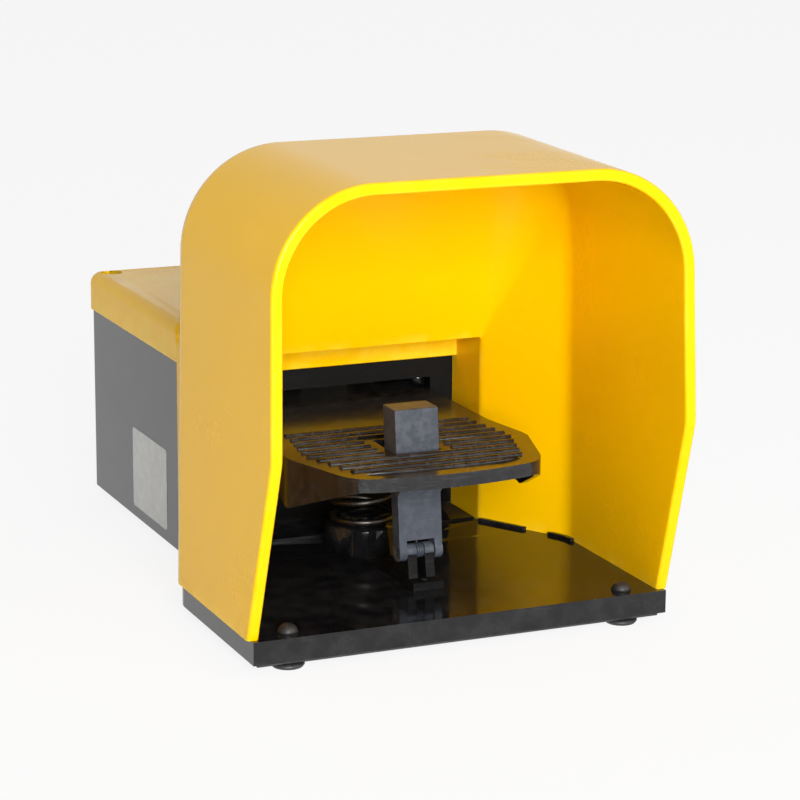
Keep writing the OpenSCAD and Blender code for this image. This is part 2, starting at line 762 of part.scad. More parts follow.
module contact_bridge() {
    y0 = plunger_y - 9;
    color([0.70, 0.71, 0.73]) from_front() difference() {
        translate([-bridge_post_x - 5, y0, bridge_z]) cube([2 * bridge_post_x + 10, 45, bridge_t]);
        at_bridge_posts() cylinder(r = 2.2, h = 2 * seam_h);
        at_blocks() {
            cylinder(r = plunger_r + 1, h = 2 * seam_h);
            for (p = block_screw_at) translate([p[0], p[1], 0]) cylinder(r = 1.2, h = 2 * seam_h);
        }
        translate([-4, plunger_y + 12, 0]) cube([8, 14, 2 * seam_h]);
    }
}

module bridge_screws() {
    color([0.62, 0.63, 0.65]) from_front()
        at_bridge_posts() translate([0, 0, block_z]) pan_screw(1.58, 3.4, 2.2, 12);
}

block_half = 10;
block_y0 = -8;
block_len = 40;
block_screw_at = [[0, 10], [0, 26]];

module contact_blocks() {
    color([0.80, 0.79, 0.74]) from_front() at_blocks() difference() {
        union() {
            translate([-block_half, block_y0, block_z]) cube([2 * block_half, block_len, 14]);
            translate([-block_half + 3, block_y0 + 3, block_z]) cube([2 * block_half - 6, block_len - 6, 20]);
        }
        translate([0, 0, block_z - 1]) cylinder(r = plunger_r + 0.1, h = 12);
        for (p = block_screw_at) translate([p[0], p[1], 0]) {
            cylinder(r = 1.3, h = 2 * seam_h);
            translate([0, 0, block_z + 14]) cylinder(r = 2.6, h = 10);
        }
        for (sx = [-1, 1]) for (y = [2, 24])
            translate([sx * (block_half - 1.5), y, block_z + 6]) cylinder(r = 1.2, h = 20);
    }
}

module block_screws() {
    color([0.62, 0.63, 0.65]) from_front() at_blocks()
        for (p = block_screw_at) translate([p[0], p[1], block_z + 14]) pan_screw(1.18, 2.2, 1.6, 16);
}

module terminal_screws() {
    color([0.75, 0.60, 0.28]) from_front() at_blocks() for (sx = [-1, 1]) for (y = [2, 24])
        translate([sx * (block_half - 1.5), y, block_z + 14]) pan_screw(1.18, 1.45, 1.4, 7);
}

module contact_plungers() {
    tip = arm_top + gap;
    color([0.82, 0.22, 0.14]) from_front() at_blocks() {
        translate([0, 0, tip + plunger_r]) cylinder(r = plunger_r, h = block_z + 4 - tip - plunger_r);
        translate([0, 0, tip + plunger_r]) sphere(r = plunger_r);
    }
}

// ---- cable gland and earth terminal ----

hex_af = 2 * entry_r + 4;

module hex_y(af, len) {
    rotate([-90, 0, 0]) rotate([0, 0, 30]) cylinder(r = af / sqrt(3), h = len, $fn = 6);
}

module at_entry() {
    from_front() translate([0, house_back, entry_h]) children();
}

module gland_body() {
    color([0.12, 0.12, 0.13]) at_entry() difference() {
        union() {
            translate([0, -13, 0]) rod_y(entry_r, 15);
            hex_y(hex_af, 6);
            translate([0, 5, 0]) rod_y(entry_r - 1, 8);
        }
        translate([0, -14, 0]) rod_y(cable_r + 1.5, 30);
        translate([0, 4, 0]) rod_y(cable_r + 3, 30);
    }
}

module gland_seal() {
    color([0.20, 0.20, 0.20]) at_entry() difference() {
        translate([0, 4 + gap / 2, 0]) rod_y(cable_r + 3 - fit, 12);
        rod_y(cable_r, 30);
    }
}

module gland_nut() {
    color([0.12, 0.12, 0.13]) at_entry() difference() {
        union() {
            translate([0, 6 + gap / 2, 0]) hex_y(hex_af, 9);
            translate([0, 15, 0]) rotate([-90, 0, 0])
                cylinder(r1 = hex_af / 2 - 0.5, r2 = cable_r + 4, h = gland_out - 15);
        }
        translate([0, 5, 0]) rod_y(entry_r - 1 + fit, 8.2);
        translate([0, 12, 0]) rod_y(cable_r + 3 + fit, 4.4);
        translate([0, 12, 0]) rod_y(cable_r + 0.6, 20);
    }
}

module gland_locknut() {
    color([0.12, 0.12, 0.13]) at_entry() difference() {
        translate([0, -wall - 5, 0]) hex_y(hex_af, 5);
        translate([0, -wall - 6, 0]) rod_y(entry_r + fit, 8);
    }
}

module earth_terminal() {
    color([0.75, 0.60, 0.28]) from_front() translate([-28, inner_back - 14, floor_h + 8]) difference() {
        translate([-5, -4, 0]) cube([10, 8, 2]);
        cylinder(r = 1.8, h = 9, center = true);
    }
}

module earth_screw() {
    color([0.75, 0.60, 0.28]) from_front()
        translate([-28, inner_back - 14, floor_h + 10]) pan_screw(1.58, 3.2, 2.2, 8);
}

base_housing();
bottom_plate();
bottom_screws();
rubber_feet();
hood();
hood_screws();
housing_lid();
lid_gasket();
lid_screws();
treadle();
hinge_shaft();
shaft_bushes();
bearing_caps();
cap_screws();
shaft_clips();
return_spring();
safety_latch();
latch_bracket();
bracket_screws();
latch_pin();
latch_spring();
contact_bridge();
bridge_screws();
contact_blocks();
block_screws();
contact_plungers();
terminal_screws();
gland_body();
gland_nut();
gland_seal();
gland_locknut();
earth_terminal();
earth_screw();
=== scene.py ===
"""Looks of the guarded foot switch: pieces, finishes, light and camera."""
import json
import math

import bmesh
import bpy
from mathutils import Matrix, Vector


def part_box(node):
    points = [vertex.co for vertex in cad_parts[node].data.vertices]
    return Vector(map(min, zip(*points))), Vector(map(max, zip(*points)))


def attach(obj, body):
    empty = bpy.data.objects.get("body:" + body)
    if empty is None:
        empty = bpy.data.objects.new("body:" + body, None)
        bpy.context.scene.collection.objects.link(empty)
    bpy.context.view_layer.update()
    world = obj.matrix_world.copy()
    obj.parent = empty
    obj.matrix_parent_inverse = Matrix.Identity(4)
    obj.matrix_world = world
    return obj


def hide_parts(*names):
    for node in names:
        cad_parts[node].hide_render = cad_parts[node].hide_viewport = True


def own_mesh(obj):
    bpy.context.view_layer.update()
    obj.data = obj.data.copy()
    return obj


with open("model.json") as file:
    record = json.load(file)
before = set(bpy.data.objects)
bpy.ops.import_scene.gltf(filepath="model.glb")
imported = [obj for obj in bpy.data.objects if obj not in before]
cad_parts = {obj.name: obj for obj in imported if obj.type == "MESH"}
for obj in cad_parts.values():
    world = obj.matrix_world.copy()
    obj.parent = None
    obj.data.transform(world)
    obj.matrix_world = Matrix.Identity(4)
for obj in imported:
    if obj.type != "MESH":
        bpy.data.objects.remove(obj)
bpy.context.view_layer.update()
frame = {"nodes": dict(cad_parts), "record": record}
nodes = frame["nodes"]
scene = bpy.context.scene

MM = 0.001
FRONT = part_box("base_housing")[0].y      # front edge of the floor plate


def at(x, y, z):
    """A point in millimetres, with y counted from the front edge of the floor plate."""
    return Vector((x * MM, FRONT + y * MM, z * MM))


SUBPARTS = {s["node"]: s for s in frame["record"]["subparts"]}
BODY_OF = {n: body for body, names in frame["record"]["behaviour"]["bodies"].items() for n in names}

# ---- shader groups ----


def shader_group(name, inputs, outputs):
    g = bpy.data.node_groups.new(name, "ShaderNodeTree")
    for label, kind, value in inputs:
        s = g.interface.new_socket(label, in_out="INPUT", socket_type="NodeSocket" + kind)
        if value is not None:
            s.default_value = value
    for label, kind in outputs:
        g.interface.new_socket(label, in_out="OUTPUT", socket_type="NodeSocket" + kind)
    return g, g.nodes.new("NodeGroupInput"), g.nodes.new("NodeGroupOutput")


def put(tree, kind, props=None, **values):
    """Add a node; keyword values go to the inputs of that name, links where given a socket."""
    n = tree.nodes.new(kind)
    for key, value in (props or {}).items():
        setattr(n, key, value)
    for key, value in values.items():
        name = key.replace("_", " ")
        sock = n.inputs[int(key[1:])] if key[0] == "i" and key[1:].isdigit() else n.inputs[name]
        if isinstance(value, bpy.types.NodeSocket):
            tree.links.new(value, sock)
        else:
            sock.default_value = value
    return n


def calc(tree, op, a, b=0.0, c=None):
    n = put(tree, "ShaderNodeMath", {"operation": op}, i0=a, i1=b)
    if c is not None:
        if isinstance(c, bpy.types.NodeSocket):
            tree.links.new(c, n.inputs[2])
        else:
            n.inputs[2].default_value = c
    return n.outputs[0]


def span(tree, value, low, high, to_low=0.0, to_high=1.0):
    n = put(tree, "ShaderNodeMapRange", None, Value=value)
    for key, v in (("From Min", low), ("From Max", high), ("To Min", to_low), ("To Max", to_high)):
        n.inputs[key].default_value = v
    return n.outputs[0]


def make_cloudiness():
    """Slow and fine variation over a moulded or painted surface."""
    g, gi, go = shader_group("cloudiness",
        [("Size", "Float", 40.0), ("Grain", "Float", 900.0)],
        [("Slow", "Float"), ("Fine", "Float"), ("Smudge", "Float")])
    co = put(g, "ShaderNodeTexCoord").outputs["Object"]
    slow = put(g, "ShaderNodeTexNoise", None, Vector=co, Scale=gi.outputs["Size"],
               Detail=3.0, Roughness=0.55)
    fine = put(g, "ShaderNodeTexNoise", None, Vector=co, Scale=gi.outputs["Grain"],
               Detail=2.0, Roughness=0.6)
    low = calc(g, "MULTIPLY", gi.outputs["Size"], 0.45)
    blot = put(g, "ShaderNodeTexNoise", None, Vector=co, Scale=low,
               Detail=5.0, Roughness=0.7, Distortion=0.8)
    g.links.new(span(g, slow.outputs[0], 0.35, 0.65), go.inputs["Slow"])
    g.links.new(fine.outputs[0], go.inputs["Fine"])
    g.links.new(span(g, blot.outputs[0], 0.48, 0.68), go.inputs["Smudge"])
    return g


def make_edge_wear():
    """Rubbed edges: the edge attribute of the mesh, broken up by noise."""
    g, gi, go = shader_group("edge_wear",
        [("Amount", "Float", 0.5), ("Size", "Float", 180.0)], [("Mask", "Float")])
    co = put(g, "ShaderNodeTexCoord").outputs["Object"]
    edge = put(g, "ShaderNodeAttribute", {"attribute_name": "edge"}).outputs["Fac"]
    n = put(g, "ShaderNodeTexNoise", None, Vector=co, Scale=gi.outputs["Size"], Detail=4.0, Roughness=0.65)
    broken = calc(g, "MULTIPLY", edge, span(g, n.outputs[0], 0.42, 0.62))
    g.links.new(calc(g, "MULTIPLY", broken, gi.outputs["Amount"]), go.inputs["Mask"])
    return g


def make_dust():
    """Dust that lies on faces that look up."""
    g, gi, go = shader_group("dust",
        [("Amount", "Float", 0.3), ("Size", "Float", 320.0)], [("Mask", "Float")])
    tc = put(g, "ShaderNodeTexCoord")
    up = put(g, "ShaderNodeSeparateXYZ", None, Vector=tc.outputs["Normal"]).outputs["Z"]
    n = put(g, "ShaderNodeTexNoise", None, Vector=tc.outputs["Object"], Scale=gi.outputs["Size"],
            Detail=6.0, Roughness=0.75)
    m = calc(g, "MULTIPLY", span(g, up, 0.5, 1.0), span(g, n.outputs[0], 0.52, 0.75))
    g.links.new(calc(g, "MULTIPLY", m, gi.outputs["Amount"]), go.inputs["Mask"])
    return g


def make_scuffs():
    """Fine scratches in two directions."""
    g, gi, go = shader_group("scuffs",
        [("Length", "Float", 30.0), ("Amount", "Float", 0.3)], [("Mask", "Float")])
    co = put(g, "ShaderNodeTexCoord").outputs["Object"]
    total = None
    for angle, squeeze in ((0.4, 22.0), (-0.75, 26.0)):
        mp = put(g, "ShaderNodeMapping", None, Vector=co)
        mp.inputs["Rotation"].default_value = (0.2, 0.3, angle)
        mp.inputs["Scale"].default_value = (1.0, squeeze, squeeze)
        n = put(g, "ShaderNodeTexNoise", None, Vector=mp.outputs[0], Scale=gi.outputs["Length"],
                Detail=2.0, Roughness=0.5)
        line = span(g, n.outputs[0], 0.66, 0.71)
        total = line if total is None else calc(g, "MAXIMUM", total, line)
    g.links.new(calc(g, "MULTIPLY", total, gi.outputs["Amount"]), go.inputs["Mask"])
    return g


def make_ejector_marks(places):
    """Shallow rings and dots that the mould leaves on the floor."""
    g, gi, go = shader_group("ejector_marks", [("Depth", "Float", 1.0)], [("Height", "Float")])
    co = put(g, "ShaderNodeTexCoord").outputs["Object"]
    xyz = put(g, "ShaderNodeSeparateXYZ", None, Vector=co)
    flat = put(g, "ShaderNodeCombineXYZ", None, X=xyz.outputs["X"], Y=xyz.outputs["Y"])
    total = None
    for x, y, r in places:
        p = at(x, y, 0)
        d = put(g, "ShaderNodeVectorMath", {"operation": "DISTANCE"}, i0=flat.outputs[0])
        d.inputs[1].default_value = (p.x, p.y, 0)
        off = calc(g, "ABSOLUTE", calc(g, "SUBTRACT", d.outputs["Value"], r * MM))
        ring = span(g, off, 0.00015, 0.0005, 1.0, 0.0)
        total = ring if total is None else calc(g, "MAXIMUM", total, ring)
    g.links.new(calc(g, "MULTIPLY", total, gi.outputs["Depth"]), go.inputs["Height"])
    return g


CLOUDINESS = make_cloudiness()
EDGE_WEAR = make_edge_wear()
DUST = make_dust()
SCUFFS = make_scuffs()
EJECTOR_MARKS = make_ejector_marks([(side * x, y, r) for x, y, r in ((45, 23, 5), (33, 53, 2), (62, 40, 3))
                                    for side in (1, -1)])      # millimetres: place and radius

# ---- finishes ----


def finish_of(name, color, worn, rough, metal=0.0, size=40.0, grain=900.0, tone=0.12, wear=0.4,
              dust=0.15, scuff=0.15, bump=0.1, bump_m=0.00002, marks=False, specular=0.5):
    """A moulded, painted or plated finish: base colour with clouds, rubbed edges, dust and scratches."""
    m = bpy.data.materials.new(name)
    m.use_nodes = True
    t = m.node_tree
    b = t.nodes["Principled BSDF"]
    cloud = put(t, "ShaderNodeGroup", {"node_tree": CLOUDINESS}, Size=size, Grain=grain).outputs
    edge = put(t, "ShaderNodeGroup", {"node_tree": EDGE_WEAR}, Amount=wear, Size=size * 5).outputs["Mask"]
    dusty = put(t, "ShaderNodeGroup", {"node_tree": DUST}, Amount=dust, Size=size * 9).outputs["Mask"]
    scratched = put(t, "ShaderNodeGroup", {"node_tree": SCUFFS}, Length=size * 0.8, Amount=scuff)
    lines = scratched.outputs["Mask"]

    def mixed(fac, a, c):
        n = put(t, "ShaderNodeMix", {"data_type": "RGBA"})
        for sock, v in ((n.inputs[0], fac), (n.inputs[6], a), (n.inputs[7], c)):
            if isinstance(v, bpy.types.NodeSocket):
                t.links.new(v, sock)
            else:
                sock.default_value = v if isinstance(v, float) else (*v, 1)
        return n.outputs[2]

    deep = tuple(c * (1 - tone) for c in color)
    col = mixed(cloud["Slow"], deep, color)
    col = mixed(edge, col, worn)
    col = mixed(lines, col, tuple(min(1, c * 0.8 + 0.08) for c in color))
    col = mixed(dusty, col, (0.45, 0.42, 0.38))
    t.links.new(col, b.inputs["Base Color"])
    r = calc(t, "MULTIPLY_ADD", cloud["Smudge"], 0.10, rough)
    r = calc(t, "MULTIPLY_ADD", cloud["Fine"], 0.05, r)
    r = calc(t, "MULTIPLY_ADD", lines, 0.2, r)
    r = calc(t, "MULTIPLY_ADD", dusty, 0.4, r)
    t.links.new(calc(t, "MINIMUM", r, 0.95), b.inputs["Roughness"])
    b.inputs["Metallic"].default_value = metal
    b.inputs["Specular IOR Level"].default_value = specular
    height = calc(t, "MULTIPLY_ADD", lines, -0.6, cloud["Fine"])
    if marks:
        ring = put(t, "ShaderNodeGroup", {"node_tree": EJECTOR_MARKS}, Depth=3.0).outputs["Height"]
        height = calc(t, "ADD", height, ring)
    bp = put(t, "ShaderNodeBump", None, Height=height, Strength=bump, Distance=bump_m)
    t.links.new(bp.outputs[0], b.inputs["Normal"])
    return m


# for each finish: its colour, the colour of its worn edges, its roughness, and what differs from plain
FINISH_VALUES = {
    "hood_yellow": ((0.94, 0.53, 0.0), (1.0, 0.74, 0.06), 0.20, {
        "size": 14, "tone": 0.03, "wear": 0.35, "dust": 0.0, "scuff": 0.03, "bump": 0.12,
        "bump_m": 0.00001, "grain": 500, "specular": 0.14}),
    "base_black": ((0.006, 0.006, 0.007), (0.03, 0.03, 0.032), 0.05, {
        "size": 24, "tone": 0.3, "wear": 0.35, "dust": 0.01, "scuff": 0.05, "bump_m": 0.00001,
        "grain": 500, "marks": True, "specular": 0.42}),
    # painted shade: a darker, duller copy of base_black for the housing's recessed front wall and the step
    # before it, so that they stay black and show no reflection
    "painted_shade_black": ((0.003, 0.003, 0.003), (0.01, 0.01, 0.01), 0.5, {
        "size": 24, "wear": 0.1, "dust": 0.0, "scuff": 0.03, "specular": 0.15}),
    "plate_black": ((0.02, 0.02, 0.021), (0.06, 0.06, 0.06), 0.45, {"size": 50, "bump": 0.3}),
    "treadle_black": ((0.007, 0.007, 0.008), (0.05, 0.05, 0.05), 0.16, {
        "size": 50, "tone": 0.3, "wear": 0.5, "dust": 0.01, "bump": 0.25}),
    "latch_grey": ((0.042, 0.050, 0.066), (0.10, 0.11, 0.13), 0.42, {
        "size": 60, "tone": 0.07, "wear": 0.5, "dust": 0.0, "scuff": 0.2, "bump": 0.35,
        "grain": 1400, "specular": 0.35}),
    "bracket_black": ((0.003, 0.003, 0.003), (0.02, 0.02, 0.02), 0.45, {
        "size": 90, "wear": 0.2, "dust": 0.0, "bump": 0.3, "specular": 0.12}),
    "zinc_steel": ((0.62, 0.62, 0.60), (0.75, 0.75, 0.73), 0.28, {
        "metal": 1.0, "size": 160, "tone": 0.15}),
    "spring_steel": ((0.10, 0.09, 0.08), (0.2, 0.185, 0.165), 0.38, {
        "metal": 1.0, "size": 200, "tone": 0.35, "bump": 0.2}),
    "foot_rubber": ((0.012, 0.012, 0.012), (0.03, 0.03, 0.03), 0.42, {"size": 120, "dust": 0.05}),
    "seal_rubber": ((0.03, 0.03, 0.03), (0.05, 0.05, 0.05), 0.6, {"size": 120}),
    "bush_bronze": ((0.55, 0.38, 0.18), (0.7, 0.5, 0.28), 0.38, {"metal": 1.0, "size": 160}),
    "terminal_brass": ((0.66, 0.50, 0.22), (0.8, 0.66, 0.38), 0.3, {"metal": 1.0, "size": 160}),
    "block_cream": ((0.68, 0.64, 0.52), (0.75, 0.72, 0.62), 0.45, {"size": 60}),
    "plunger_red": ((0.55, 0.05, 0.025), (0.6, 0.15, 0.1), 0.35, {"size": 120}),
    "gland_black": ((0.014, 0.014, 0.015), (0.05, 0.05, 0.05), 0.34, {"size": 90, "dust": 0.05}),
    "blank_foil": ((0.50, 0.50, 0.48), (0.62, 0.62, 0.6), 0.35, {
        "metal": 0.15, "size": 60, "tone": 0.06, "dust": 0.0, "scuff": 0.1}),
}
FINISH = {name: finish_of(name, color, worn, rough, **more)
          for name, (color, worn, rough, more) in FINISH_VALUES.items()}
for name, obj in nodes.items():
    obj.data.materials.clear()
    obj.data.materials.append(FINISH[SUBPARTS[name]["material_slot"]])

# ---- making pieces ----


def added(name, data):
    """A new object of that name in the scene."""
    obj = bpy.data.objects.new(name, data)
    scene.collection.objects.link(obj)
    return obj


def baked(helper):
    """The mesh of a helper object with its modifiers applied; the helper itself is removed."""
    deps = bpy.context.evaluated_depsgraph_get()
    out = bpy.data.meshes.new_from_object(
        helper.evaluated_get(deps), preserve_all_data_layers=True, depsgraph=deps)
    bpy.data.objects.remove(helper)
    return out


def smooth_mesh(bm, name):
    """The mesh of a bmesh, with its many-sided faces split and every face smooth."""
    bmesh.ops.triangulate(bm, faces=[f for f in bm.faces if len(f.verts) > 4])
    me = bpy.data.meshes.new(name)
    bm.to_mesh(me)
    bm.free()
    for p in me.polygons:
        p.use_smooth = True
    return me


WEAR_FROM, WEAR_SPAN = 0.12, 0.35        # radians of turn: where edge wear starts, and how soon it is full


def mark_edges(me):
    """Write how sharply the surface turns at each vertex, for the edge wear."""
    bm = bmesh.new()
    bm.from_mesh(me)
    bm.normal_update()
    lay = bm.verts.layers.float.new("edge")
    for v in bm.verts:
        turn = 0.0
        for e in v.link_edges:
            if len(e.link_faces) == 2 and e.is_convex:
                turn = max(turn, e.calc_face_angle(0.0))
        v[lay] = min(1.0, max(0.0, turn - WEAR_FROM) / WEAR_SPAN)
    bm.to_mesh(me)
    bm.free()


def weighted(me, name):
    """The mesh with normals weighted by face area, so that flat faces stay flat."""
    helper = added(name, me)
    mod = helper.modifiers.new("weights", "WEIGHTED_NORMAL")
    mod.keep_sharp = True
    mod.weight = 100
    return baked(helper)


def place(name, me, body, finish, stands_for=(), smooth=32):
    """Make the finished piece: shading, finish, body and the node that it stands for."""
    me.set_sharp_from_angle(angle=math.radians(smooth))
    mark_edges(me)
    me = weighted(me, name)
    me.materials.clear()
    me.materials.append(FINISH[finish])
    obj = added(name, me)
    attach(obj, body)
    if stands_for:
        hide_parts(*stands_for)
    return obj


def node_bmesh(node):
    """The node's mesh with its doubles merged and its flat faces joined."""
    bm = bmesh.new()
    bm.from_mesh(nodes[node].data)
    bmesh.ops.remove_doubles(bm, verts=bm.verts, dist=2e-6)
    bmesh.ops.dissolve_limit(bm, angle_limit=math.radians(0.4), verts=bm.verts, edges=bm.edges)
    return bm


def softened(node, width, segments=2, turn=38, shortest=1.0, pick=None, smooth=32):
    """A copy of a node with its sharp edges rounded, in place of the node."""
    bm = node_bmesh(node)
    edges = [e for e in bm.edges if len(e.link_faces) == 2
             and e.calc_face_angle(0.0) > math.radians(turn) and e.calc_length() > shortest * MM
             and (pick is None or pick(e))]
    if width:
        bmesh.ops.bevel(bm, geom=edges, offset=width * MM, offset_type="OFFSET", segments=segments,
                        profile=0.5, affect="EDGES", clamp_overlap=True)
    name = node + "_soft"
    finish = SUBPARTS[node]["material_slot"]
    return place(name, smooth_mesh(bm, name), BODY_OF[node], finish, (node,), smooth)


# ---- hood ----

# millimetres, as in the part's source
HOOD_T = 4.3                                  # wall
HOOD_HALF, COLLAR_HALF = 81.5, 60.0           # half widths in front and at the collar
HOOD_TOP, COLLAR_TOP = 172.0, 90.3
HOOD_R, COLLAR_R = 37.5, 5.0                  # corner radii of the arch
SIDE_Y, ROOF_Y = 72.0, 75.0                   # where the sides and the roof start to narrow
NARROW_Y, HOOD_END = 112.0, 136.7             # where they end, and the collar's rear end
SIDE_BEND, ROOF_BEND = 0.2, 0.42              # share of the way that is a curve
DRAFT, ROOF_RISE = 0.0195, 0.014
INNER_SHIFT = 0.55 * HOOD_T                   # the inner skin turns this much earlier
HOOD_LIP, HOOD_LEAN, KINK_Z = 18.5, 4.1, 79.0     # front edge: overhang, lean above the kink
KINK_SOFT = 0.35                              # rounding of the kink
FOOT_FRONT, FLOOR_Z = 2.0, 12.0
RIM_R, RIM_STEPS = 1.25, 5                    # round of the front edge
RIM_LOOPS = [RIM_R, 3.0, 6.5]                 # loops behind the front edge
END_R = 0.6                                   # break of the collar's rear edge
FLANGE_LOW, FLANGE_HIGH, FLANGE_R = 73.8, 86.2, 0.7


def ramp(t, bend):
    """0 to 1, curved over the first share of the way and straight after it."""
    s = max(0.0, min(1.0, t))
    return (s * s / (2 * bend) if s < bend else s - bend / 2) / (1 - bend / 2)


def hood_section(y):
    """Half width, top, corner radius and draft of the hood's outer skin at y."""
    side = ramp((y - SIDE_Y) / (NARROW_Y - SIDE_Y), SIDE_BEND)
    roof = ramp((y - ROOF_Y) / (NARROW_Y - ROOF_Y), ROOF_BEND)
    top = HOOD_TOP - ROOF_RISE * max(0.0, ROOF_Y - y)
    return (HOOD_HALF + (COLLAR_HALF - HOOD_HALF) * side, top + (COLLAR_TOP - top) * roof,
            HOOD_R + (COLLAR_R - HOOD_R) * roof, DRAFT * (1 - side))


def hood_columns():
    """Parameters along the arch from the right foot over the top to the left foot."""
    side = sorted({i / 22 for i in range(22)} | {0.547 + d for d in (-0.03, -0.015, 0, 0.015, 0.03)})
    right = [("side", f) for f in side]
    right += [("arc", 90 * i / 20) for i in range(21)]
    roof = [("roof", i / 12) for i in range(1, 12)]
    left = [(kind, -v if v else -1e-9) for kind, v in reversed(right)]
    return right + roof + left


def hood_point(col, y, inner):
    """The point of a column on the outer or inner skin at y."""
    half, top, r, draft = hood_section(y + (INNER_SHIFT if inner else 0))
    inset = HOOD_T if inner else 0.0
    half, top, r = half - inset, top - inset, r - inset * 0.9
    c = top - r
    w = half - draft * (c - FLOOR_Z)
    kind, v = col
    if kind == "side":
        z = FLOOR_Z + abs(v) * (c - FLOOR_Z)
        x = math.copysign(half - draft * (z - FLOOR_Z), v if v else 1)
    elif kind == "arc":
        a = math.radians(abs(v))
        x = math.copysign(w - r + r * math.cos(a), v if v else 1)
        z = c + r * math.sin(a)
    else:
        x, z = (w - r) * (1 - 2 * v), top
    return Vector((x, y, z))


def rim_y(z):
    """Front edge of the hood at height z, with the corner at the kink a little rounded."""
    low = FOOT_FRONT - (FOOT_FRONT + HOOD_LIP) * (z - FLOOR_Z) / (KINK_Z - FLOOR_Z)
    high = -HOOD_LIP + HOOD_LEAN * (z - KINK_Z) / (HOOD_TOP + 1 - KINK_Z)
    return 0.5 * (low + high + math.sqrt((low - high) ** 2 + KINK_SOFT ** 2))


def rim_point(col, back, inner):
    """The point of a column that lies this far behind the front edge."""
    y = 0.0
    for _ in range(4):
        y = rim_y(hood_point(col, y, inner).z) + back
    return hood_point(col, y, inner)


def hood_rings(cols):
    """Rings of points, from the collar's outer end over the front edge to its inner end."""
    stations = ([12, 24, 36, 48, 58, 65, 69] + [71 + i for i in range(23)]
                + [96, 99, 102, 105, 108, 110.5, 112, 113.5, 117, 124, 131])
    outer = [[rim_point(c, b, False) for c in cols] for b in RIM_LOOPS]
    outer += [[hood_point(c, y, False) for c in cols] for y in stations + [HOOD_END - END_R]]
    inner = [[rim_point(c, b, True) for c in cols] for b in RIM_LOOPS]
    inner += [[hood_point(c, y - INNER_SHIFT, True) for c in cols] for y in stations]
    inner += [[hood_point(c, HOOD_END - END_R, True) for c in cols]]
    turns = [math.pi / 2 * k / RIM_STEPS for k in range(1, RIM_STEPS + 1)]
    over = [(RIM_R * (1 - math.sin(a)), RIM_R * (1 - math.cos(a))) for a in turns]
    rim = [[rim_point(c, back, False).lerp(rim_point(c, back, True), across / HOOD_T) for c in cols]
           for back, across in over]
    rim += [[rim_point(c, back, True).lerp(rim_point(c, back, False), across / HOOD_T) for c in cols]
            for back, across in reversed(over)]
    end_out, end_in = ([hood_point(c, HOOD_END, skin).lerp(hood_point(c, HOOD_END, not skin), 0.5 / HOOD_T)
                        for c in cols] for skin in (False, True))
    return list(reversed(outer)) + rim + inner + [end_in, end_out]


def add_flange(bm):
    """The flange across the rear opening, with its lower edges rounded."""
    half = COLLAR_HALF - HOOD_T + 0.2
    box = bmesh.ops.create_cube(bm, size=1.0)["verts"]
    for v in box:
        v.co = at((1 if v.co.x > 0 else -1) * half,
                  HOOD_END - 0.1 if v.co.y > 0 else HOOD_END - HOOD_T,
                  FLANGE_HIGH if v.co.z > 0 else FLANGE_LOW)
    edges = list({e for v in box for e in v.link_edges
                  if all(abs(w.co.z - FLANGE_LOW * MM) < 1e-6 for w in e.verts)
                  and abs(e.verts[0].co.x - e.verts[1].co.x) > 0.01})
    bmesh.ops.bevel(bm, geom=edges, offset=FLANGE_R * MM, segments=3, profile=0.5, affect="EDGES")


def make_hood():
    cols = hood_columns()
    bm = bmesh.new()
    grid = [[bm.verts.new(at(*p)) for p in ring] for ring in hood_rings(cols)]
    m, n = len(grid), len(cols)
    for i in range(m):
        a, b = grid[i], grid[(i + 1) % m]
        for j in range(n - 1):
            bm.faces.new((a[j], a[j + 1], b[j + 1], b[j]))
    # feet: the strips that stand on the floor plate
    for j in (0, n - 1):
        bm.faces.new([grid[i][j] for i in range(m)])
    add_flange(bm)
    bmesh.ops.recalc_face_normals(bm, faces=bm.faces)
    place("hood_shell", smooth_mesh(bm, "hood_shell"), "base", "hood_yellow", ("hood",), 34)


make_hood()

# ---- softened pieces ----

WALL_Y = 136.0                     # front wall of the housing
LATCH_Y, LATCH_Z, KNUCKLE_R = 42.5, 24.5, 2.75


def outside_base(e):
    """Outer edges of the floor plate and of the housing, and the edges of the floor."""
    a, b = (v.co / MM for v in e.verts)
    y = (a.y + b.y) / 2 - FRONT / MM
    z = (a.z + b.z) / 2
    x = abs(a.x + b.x) / 2
    flat = abs(a.z - b.z) < 0.01
    upright = abs(a.x - b.x) < 0.01 and abs(a.y - b.y) < 0.01
    if z < FLOOR_Z + 0.2 and flat and y < WALL_Y + 0.5:
        return x > 50 or y < 1
    return z < 79.4 and upright and x > 56 and y > WALL_Y


base = softened("base_housing", 0.5, 3, pick=outside_base)
softened("housing_lid", 0.35, 2, turn=50)
softened("treadle", 0.55, 3, turn=50, shortest=2.2)
softened("safety_latch", 0.5, 3, turn=50, shortest=1.2)
bracket = softened("latch_bracket", 0.3, 2, turn=50, shortest=1.2)
nodes["latch_spring"].data.materials[0] = FINISH["latch_grey"]
softened("bottom_plate", 0.3, 1, turn=60)
for part in ("rubber_feet", "gland_body", "gland_nut", "gland_locknut"):
    softened(part, 0.35, 2, turn=50)
for part in ("lid_screws", "latch_pin", "gland_seal", "bottom_screws", "bracket_screws", "hinge_shaft"):
    softened(part, 0.0)


def second_finish(obj, finish, pick):
    """Give the faces that pick() names another finish."""
    obj.data.materials.append(FINISH[finish])
    for p in obj.data.polygons:
        c = p.center
        if pick(c.x / MM, (c.y - FRONT) / MM, c.z / MM, p.normal):
            p.material_index = 1


def in_painted_shade(x, y, z, normal):
    """The housing's front wall and the front of the step before it: faces that get a darker, duller black
    than the rest of the floor, as painted shade.
    """
    wall = WALL_Y - 2 < y < WALL_Y + 10 and z > FLOOR_Z + 1.5
    step = 111 < y < 113 and z > FLOOR_Z + 0.1 and normal.y < -0.3
    return abs(x) < 60 and (wall or step)


def on_knuckle(x, y, z, normal):
    return math.hypot(y - LATCH_Y, z - LATCH_Z) < KNUCKLE_R + 0.1
